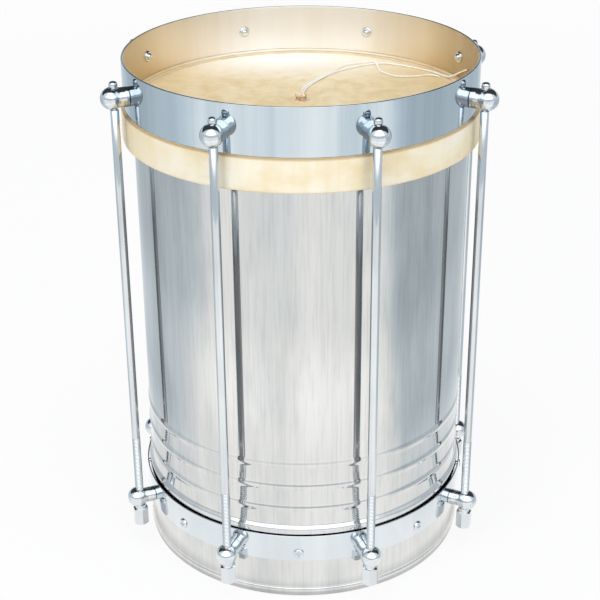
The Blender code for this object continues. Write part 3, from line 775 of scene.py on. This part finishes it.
# %% Helpers that cut a part and lay it at eight places
def carved(name, blank, drill):
    """The first shape less the second, as one plain mesh."""
    blank = placed("blank", piece_mesh("blank", blank, LUG_CHROME))
    drill = placed("drill", piece_mesh("drill", drill, LUG_CHROME))
    cut = blank.modifiers.new("cut", "BOOLEAN")
    cut.operation, cut.solver, cut.object = "DIFFERENCE", "EXACT", drill
    graph = bpy.context.evaluated_depsgraph_get()
    mesh = bpy.data.meshes.new_from_object(blank.evaluated_get(graph))
    mesh.name = name
    for item in (blank, drill):
        bpy.data.objects.remove(item, do_unlink=True)
    return smoothed(mesh, 35.0)


def lying(shape):
    """Local Z becomes outward X: (x, y, z) goes to (z, y, -x)."""
    points, faces = shape
    return np.stack([points[:, 2], points[:, 1], -points[:, 0]], 1), faces


def laid_out(mesh, name, body, node, z=0.0, radius=ROD_CIRCLE, turns=ROD_TURNS):
    """Copies of a mesh with local X pointing outwards at each turn. The place is worked into
    the points: outward is (sin a, -cos a, 0) and sideways is (cos a, sin a, 0)."""
    local = np.empty(len(mesh.vertices) * 3)
    mesh.vertices.foreach_get("co", local)
    local = local.reshape(-1, 3)
    for k, a in enumerate(turns, 1):
        out = np.array([math.sin(a), -math.cos(a), 0.0])
        across = np.array([math.cos(a), math.sin(a), 0.0])
        place = (radius * MM + local[:, :1]) * out + local[:, 1:2] * across
        place[:, 2] += z * MM + local[:, 2]
        copy = mesh.copy()
        copy.name = "%s_%d" % (name, k)
        copy.vertices.foreach_set("co", place.ravel())
        copy.update()
        hang("%s_%d" % (name, k), copy, body.format(k), "%s_%d" % (node, k))


# %% The upper lugs
def post(name, base, back_profile, shank, hole, seat_r, seat_side):
    """A straight shank that runs into a ball: the ball's circle starts where it meets it. The
    drill is a cylinder that widens at the seat, above or below."""
    ball_r, far = BALL_R - 0.07, 13.0
    start = math.degrees(math.asin((0.25 - math.sqrt(ball_r ** 2 - shank ** 2)) / ball_r))
    ball = arc((0.0, BALL_OUT), ball_r, start, 90.0, 26)
    rows = np.vstack([back_profile, [(shank - 0.35, base), (shank, base + 0.35)],
                      line((shank, base + 1.5), (shank, ball[0, 1] - 0.5), 4), ball])
    bore = np.array([(0.0, -far), (hole, -far), (hole, SEAT - 0.25), (hole + 0.25, SEAT),
                     (seat_r, SEAT), (seat_r, far), (0.0, far)]) * [1.0, seat_side]
    return carved(name, lying(turned(rows, 64, ring=False)), turned(bore, 40, ring=False))


base = HOOP_R - ROD_CIRCLE + 0.05
upper = post("upper_lug", base, [(0.0, base)], UPPER_SHANK, ROD_NECK + 0.35, 4.0, 1.0)
laid_out(upper, "cast_upper_lug", "hoop", "upper_lug", UPPER_LUG_Z)

# %% [markdown]
# The lower lugs have the same ball on a thinner shank. Their bolt goes through band and shell
# and ends in a domed head inside. It turns with the post, so one profile makes both. The seat
# is cut below, where the tuning nut presses.

# %% The lower lugs
base = BAND_OUT - ROD_CIRCLE + 0.05
inside = FOOT_R - SHELL_WALL - ROD_CIRCLE - 0.35
stud = [(0.0, inside - 3.2), (2.0, inside - 3.05), (3.4, inside - 2.5), (4.4, inside - 1.3),
        (4.6, inside), (2.2, inside), (2.2, base)]
lower = post("lower_lug", base, stud, LOWER_SHANK, ROD_R + 0.4, 5.2, -1.0)
laid_out(lower, "cast_lower_lug", "drum", "lower_lug", LOWER_LUG_Z)

# %% [markdown]
# ## The rods
#
# Each rod is a long screw, necked down through the upper lug, with a domed head above it and a
# rolled thread that runs through the lower lug into the nut. A ridge could be wound on. It is
# simpler to ripple the turned surface: the radius at height z and angle a follows a wave of
# z / pitch - a / one turn, so the crests climb round.

# %% Rods with a real thread
PITCH = 1.27


def rod_shape(around=24, steps=7):
    """Rows of the thread, faded out within a millimetre of its ends, and plain rows above."""
    seat, shoulder = UPPER_LUG_Z + SEAT + 0.3, UPPER_LUG_Z - BALL_R - 0.3
    first, last = ROD_END + 0.6, THREAD_TOP - 0.6
    z = np.linspace(first, last, int(round((last - first) / PITCH * steps)) + 1)[:, None]
    a = angles(around)
    depth = np.clip(np.minimum(z - first, last - z), 0.0, 1.0)
    wave = 0.5 + 0.5 * np.cos(2.0 * np.pi * z / PITCH - a)
    thread_r = ROD_R + 0.12 * depth - 0.42 * depth * (1.0 - wave)
    shank = [(ROD_R, THREAD_TOP + 0.4), (ROD_R, 180.0), (ROD_R, 280.0), (ROD_R, shoulder - 0.3),
             (ROD_R - 0.3, shoulder), (ROD_NECK, shoulder)]
    head = np.array([(ROD_NECK, 0.0), (2.7, 0.0), (3.05, 0.6), (3.2, 1.5), (3.2, 2.7), (3.05, 3.6),
                     (2.6, 4.35), (1.9, 4.85), (0.9, 5.12)]) + [0.0, seat]
    upper = np.vstack([shank, head])
    radius = np.vstack([np.full((1, around), 2.3), thread_r, upper[:, :1] + 0.0 * a])
    height = np.vstack([[[ROD_END]], z, upper[:, 1:]])
    points = np.vstack([spun(radius, height, a), [(0, 0, ROD_END), (0, 0, seat + 5.2)]])
    return points, capped_faces(len(radius), around)


laid_out(piece_mesh("tension_rod", rod_shape(), ZINC, 50.0), "plated_rod", "hoop",
         "tension_rod")

# %% [markdown]
# ## The tuning nuts
#
# Long hexagonal sleeve nuts close the rods. A round neck meets the lug, and both ends of the
# hexagon are turned down to a cone, which leaves a curved edge on each flat. A boolean would
# do, but the smaller of the two radii gives the same edge on a clean grid. Each nut rides on
# a body of its own, since it spins.

# %% Nuts
def hexagon_radius(flats, a):
    """Half the width over the flats, over the cosine of the angle to the nearest flat."""
    return flats / 2.0 / np.cos((a + np.pi / 6.0) % (np.pi / 3.0) - np.pi / 6.0)


def nut_shape(around=72):
    """Rows of radius, height and 1 for a row that the hexagon limits: it takes the smaller of
    its radius and the hexagon's. A quarter turn is added, since X points outwards."""
    a = angles(around)
    hexagon = np.minimum(hexagon_radius(NUT_FLATS, a), NUT_FLATS / math.sqrt(3.0) - 0.12)
    top, low, neck = NUT_TOP, NUT_LOW, NUT_NECK
    rows = [(3.55, top - 0.4, 0), (3.8, top, 0), (4.4, top, 0), (4.6, top - 0.25, 0),
            (4.6, neck + 0.5, 0), (4.6, neck, 0), (5.2, neck, 0)]
    rows += [(5.2 + 0.28 * k, neck - 0.16 * k, 1) for k in range(1, 6)]
    rows += [(9.0, neck - 3.0, 1), (9.0, low + 4.0, 1)]
    rows += [(5.2 + 0.28 * k, low + 0.16 * k, 1) for k in range(5, -1, -1)]
    rows += [(4.3, low, 0), (3.6, low + 0.5, 0), (3.55, low + 8.0, 0)]
    rows = np.array(rows)
    radius = np.where(rows[:, 2:] > 0.5, np.minimum(rows[:, :1], hexagon), rows[:, :1])
    points = spun(radius, rows[:, 1:2], a + np.pi / 2.0)
    return points, [round_faces(len(rows), around, True)]


laid_out(piece_mesh("tuning_nut", nut_shape(), ZINC, 28.0), "sleeve_nut", "nut_{}",
         "tuning_nut")

# %% [markdown]
# ## Bolts and screws
#
# Inside the hoop each upper lug is held by a domed bolt in a cup washer. Between the lower
# lugs, cross-head screws hold the band to the shell, with a nut inside. Both are turned. The
# cross could be cut, but pressing points of the face inwards is enough at this size.

# %% Hoop bolts
wall = hoop_in - 0.12
bolt = np.array([(0.0, -3.6), (1.0, -3.5), (1.9, -3.1), (2.5, -2.45), (2.75, -1.7), (2.8, -1.2),
                 (3.0, -1.15), (3.6, -1.25), (4.1, -1.0), (4.4, -0.45), (4.4, 0.0), (2.2, 0.0),
                 (2.2, 6.3), (1.9, 6.6), (0.0, 6.6)])
bolt_mesh = piece_mesh("hoop_bolt", lying(turned(bolt, 40, ring=False)), LUG_CHROME)
laid_out(bolt_mesh, "domed_bolt", "hoop", "hoop_bolt", UPPER_LUG_Z, wall)

# %% Band screws with a pressed cross
def arm(u, v):
    """One arm of the cross: 1 where u is under 0.47 and v under 2.2, sloping off to 0."""
    return np.clip((0.72 - np.abs(u)) / 0.25, 0, 1) * np.clip((2.5 - np.abs(v)) / 0.3, 0, 1)


def screw_shape(around=64):
    """A turned pan head, a shank and a hexagonal nut in one grid of distances out x and radii
    r; in the head's first ten rings the cross sinks the face by up to 1.4 mm."""
    a, ring, top, sunk = angles(around), np.arange(1, 11), 2.05, 1.4
    head_r = np.concatenate([0.3 * ring, [3.3, 3.6, 3.8, 3.95, 4.0, 4.0, 2.0, 2.0]])
    x = np.concatenate([top - 0.0126 * ring ** 1.6, [1.45, 1.15, 0.85, 0.5, 0.3, 0.05, 0.05],
                        [-3.9, -3.9, -4.1, -7.0, -7.5, -7.5]])[:, None]
    even, nut_r = 0.0 * a, hexagon_radius(8.0, a)
    r = np.vstack([head_r[:, None] + even, nut_r - 0.3, nut_r, nut_r, nut_r - 0.4, even + 2.0])
    y, z = r * np.cos(a), r * np.sin(a)
    sink = sunk * np.maximum(arm(y, z), arm(z, y)) * (np.arange(len(r)) < 10)[:, None]
    points = np.stack([x - sink, y, z], -1).reshape(-1, 3)
    return np.vstack([points, [(top - sunk, 0, 0), (x[-1, 0], 0, 0)]]), capped_faces(len(r), around)


laid_out(piece_mesh("band_screw", screw_shape(), LUG_CHROME, 30.0), "cross_screw", "drum",
         "band_screw", LOWER_LUG_Z, BAND_OUT, SCREW_TURNS)

# %% [markdown]
# ## The stick
#
# The stick is a bamboo skewer. Its knob sits inside the nub, and two knots of the bamboo
# stand out as low rings. A bent line would be truer to bamboo, but it has to clear the nub
# as it swings, so it is turned straight. It hangs on a body of its own.

# %% The bamboo stick
SWING_Z = 364.8
knob, shoulder, low = 367.75, 361.3, 92.0
ring_z = (SWING_Z - 92.0, SWING_Z - 186.0)
rows = [(0.0, knob), (1.0, knob - 0.05), (1.8, knob - 0.2), (2.2, knob - 0.5), (1.95, knob - 0.85),
        (1.3, knob - 1.4), (1.3, shoulder), (2.6, shoulder - 0.3), (3.4, shoulder - 0.9)]
for z in ring_z:
    rows += [(3.4, z + 4.0), (3.5, z + 2.4), (3.95, z + 0.7), (3.9, z), (3.7, z - 0.3),
             (3.95, z - 0.8), (3.5, z - 2.6), (3.4, z - 4.2)]
rows += [(3.4, low + 0.9), (3.1, low + 0.3), (2.5, low), (0.0, low)]
hang("bamboo_stick", piece_mesh("bamboo_stick", turned(rows, 40, ring=False), BAMBOO), "stick",
     "stick")

# %% [markdown]
# ## Floor, light and surroundings
#
# The drum stands on a plain pale floor under soft light. Polished metal shows its
# surroundings, so they matter more than the lamps. A room could be built, but smooth tones
# leave no hard shapes in the metal: the floor is darker to both sides and far away, and the
# air is bright in front and dark high up behind.

# %% What mirrors see of the floor
def either(tree, share, one, two):
    """The first shader where share is 0 and the second where it is 1."""
    return add(tree, "MixShader", {0: share, 1: one.outputs[0], 2: two.outputs[0]})


def floor_in_mirrors(tree, path, reach, turn):
    """The tone is one less the two sides, times a near, a far and an uneven part. It is shaded
    where the rim stands, and again where one mirror shows another."""
    right = product(tree, fade(tree, turn, 0.86, 1.24, 0.0, 0.42),
                    fade(tree, turn, 2.0, 3.0, 1.0, 0.50), fade(tree, reach, 0.13, 0.42))
    left = product(tree, fade(tree, turn, -0.90, -1.60, 0.0, 0.40),
                   fade(tree, turn, -2.0, -3.0, 1.0, 0.55), fade(tree, reach, 0.13, 0.40))
    sides = worked(tree, "SUBTRACT", 1.0, worked(tree, "ADD", right, left))
    near = fade(tree, reach, 0.28, 0.55, 1.04, 1.16)
    far = fade(tree, reach, 0.50, 0.85, 1.0, 0.84)
    ripple = add(tree, "TexNoise", {"W": turn, "Scale": 2.2, "Detail": 3.0}, noise_dimensions="1D")
    uneven = between(tree, ripple.outputs[0], 0.25, 0.75, 0.93, 1.07)
    tone = product(tree, sides, near, far, uneven)
    twice = product(tree, fade(tree, path["Glossy Depth"], 1.2, 2.0, 0.0, 0.62),
                    fade(tree, reach, 0.20, 0.34))
    contact = fade(tree, reach, 0.129, 0.140, 0.66, 1.0)
    strength = product(tree, tone, contact, worked(tree, "SUBTRACT", 1.0, twice))
    warm, cool = (1.0, 1.0, 0.985), (0.90, 1.0, 1.07)
    colour = mixed(tree, fade(tree, tone, 0.62, 1.05, 1.0, 0.0), warm, cool)
    return add(tree, "Emission", {"Color": colour, "Strength": strength})


# %% Floor
FLOOR_HALF, FLOOR_Z = 4.0, -0.0004


def make_floor():
    """Pale paper for the light, nearly plain white for the camera, and the tones for mirrors."""
    finish, tree = new_finish("pale_floor")
    shader = tree.nodes["Principled BSDF"]
    for socket, value in (("Base Color", (0.90, 0.905, 0.91, 1.0)), ("Roughness", 1.0),
                          ("Specular IOR Level", 0.0)):
        shader.inputs[socket].default_value = value
    path = add(tree, "LightPath").outputs
    split, _, reach = drum_place(tree)
    white = add(tree, "Emission", {"Color": (1, 1, 1, 1)})
    share = product(tree, path["Is Camera Ray"], fade(tree, reach, 0.6, 3.0, 0.88, 1.0))
    seen = either(tree, path["Is Glossy Ray"], either(tree, share, shader, white),
                  floor_in_mirrors(tree, path, reach, turn_round(tree, split)))
    tree.links.new(seen.outputs[0], tree.nodes["Material Output"].inputs["Surface"])
    mesh = bpy.data.meshes.new("floor")
    corners = [(x * FLOOR_HALF, y * FLOOR_HALF, FLOOR_Z)
               for x, y in ((-1, -1), (1, -1), (1, 1), (-1, 1))]
    mesh.from_pydata(corners, [], [(0, 1, 2, 3)])
    mesh.materials.append(finish)
    floor = placed("floor", mesh)


make_floor()
print("floor of", 2.0 * FLOOR_HALF, "m")

# %% Surroundings
def make_world():
    """White for the camera. For mirrors the direction decides: bright in front, paler at the
    sides and low down, and dark high up behind the drum."""
    world = bpy.data.worlds.new("studio")
    bpy.context.scene.world = world
    world.use_nodes = True
    tree = world.node_tree
    tree.nodes.clear()
    place = add(tree, "TexCoord")
    split = add(tree, "SeparateXYZ", {"Vector": place.outputs["Generated"]}).outputs
    back_y = worked(tree, "ADD", split["Y"], product(tree, split["Z"], split["Z"], 0.30))
    turn = worked(tree, "ABSOLUTE", turn_round(tree, split))
    room = mixed(tree, fade(tree, turn, 0.70, 1.10), (1.75, 1.78, 1.80), (0.80, 0.85, 0.88))
    room = mixed(tree, fade(tree, back_y, 0.00, 0.12), room, (0.045, 0.05, 0.055))
    room = mixed(tree, fade(tree, split["Z"], 0.20, 0.34), (0.60, 0.66, 0.71), room)
    path = add(tree, "LightPath").outputs
    glossy = add(tree, "Background", {"Color": room})
    soft = add(tree, "Background", {"Color": (0.95, 0.975, 1.0, 1.0), "Strength": 0.55})
    white = add(tree, "Background", {"Color": (1, 1, 1, 1)})
    unseen = either(tree, path["Is Glossy Ray"], soft, glossy)
    seen = either(tree, path["Is Camera Ray"], unseen, white)
    out = add(tree, "OutputWorld")
    tree.links.new(seen.outputs[0], out.inputs["Surface"])


make_world()
print("made", bpy.context.scene.world.name)

# %% Lamps
def soft_box(name, at, aim, size, power):
    """A rectangular lamp at a place, turned to a point. Mirrors don't show it."""
    lamp = bpy.data.lights.new(name, "AREA")
    lamp.shape = "RECTANGLE"
    lamp.size, lamp.size_y = size
    lamp.energy = power
    made = placed(name, lamp)
    made.location = at
    made.rotation_euler = (Vector(aim) - Vector(at)).to_track_quat("-Z", "Y").to_euler()
    made.visible_glossy = False
    print(name, "of", power, "W")


soft_box("overhead", (-0.15, -0.35, 2.0), (0.0, -0.1, 0.2), (1.6, 1.3), 15.0)
soft_box("front_left", (-1.6, -2.2, 1.7), (0.0, 0.0, 0.2), (1.2, 1.2), 20.0)
soft_box("front_right", (1.9, -1.9, 1.5), (0.0, 0.0, 0.2), (1.0, 1.2), 16.0)
bpy.context.scene.view_settings.view_transform = "Standard"
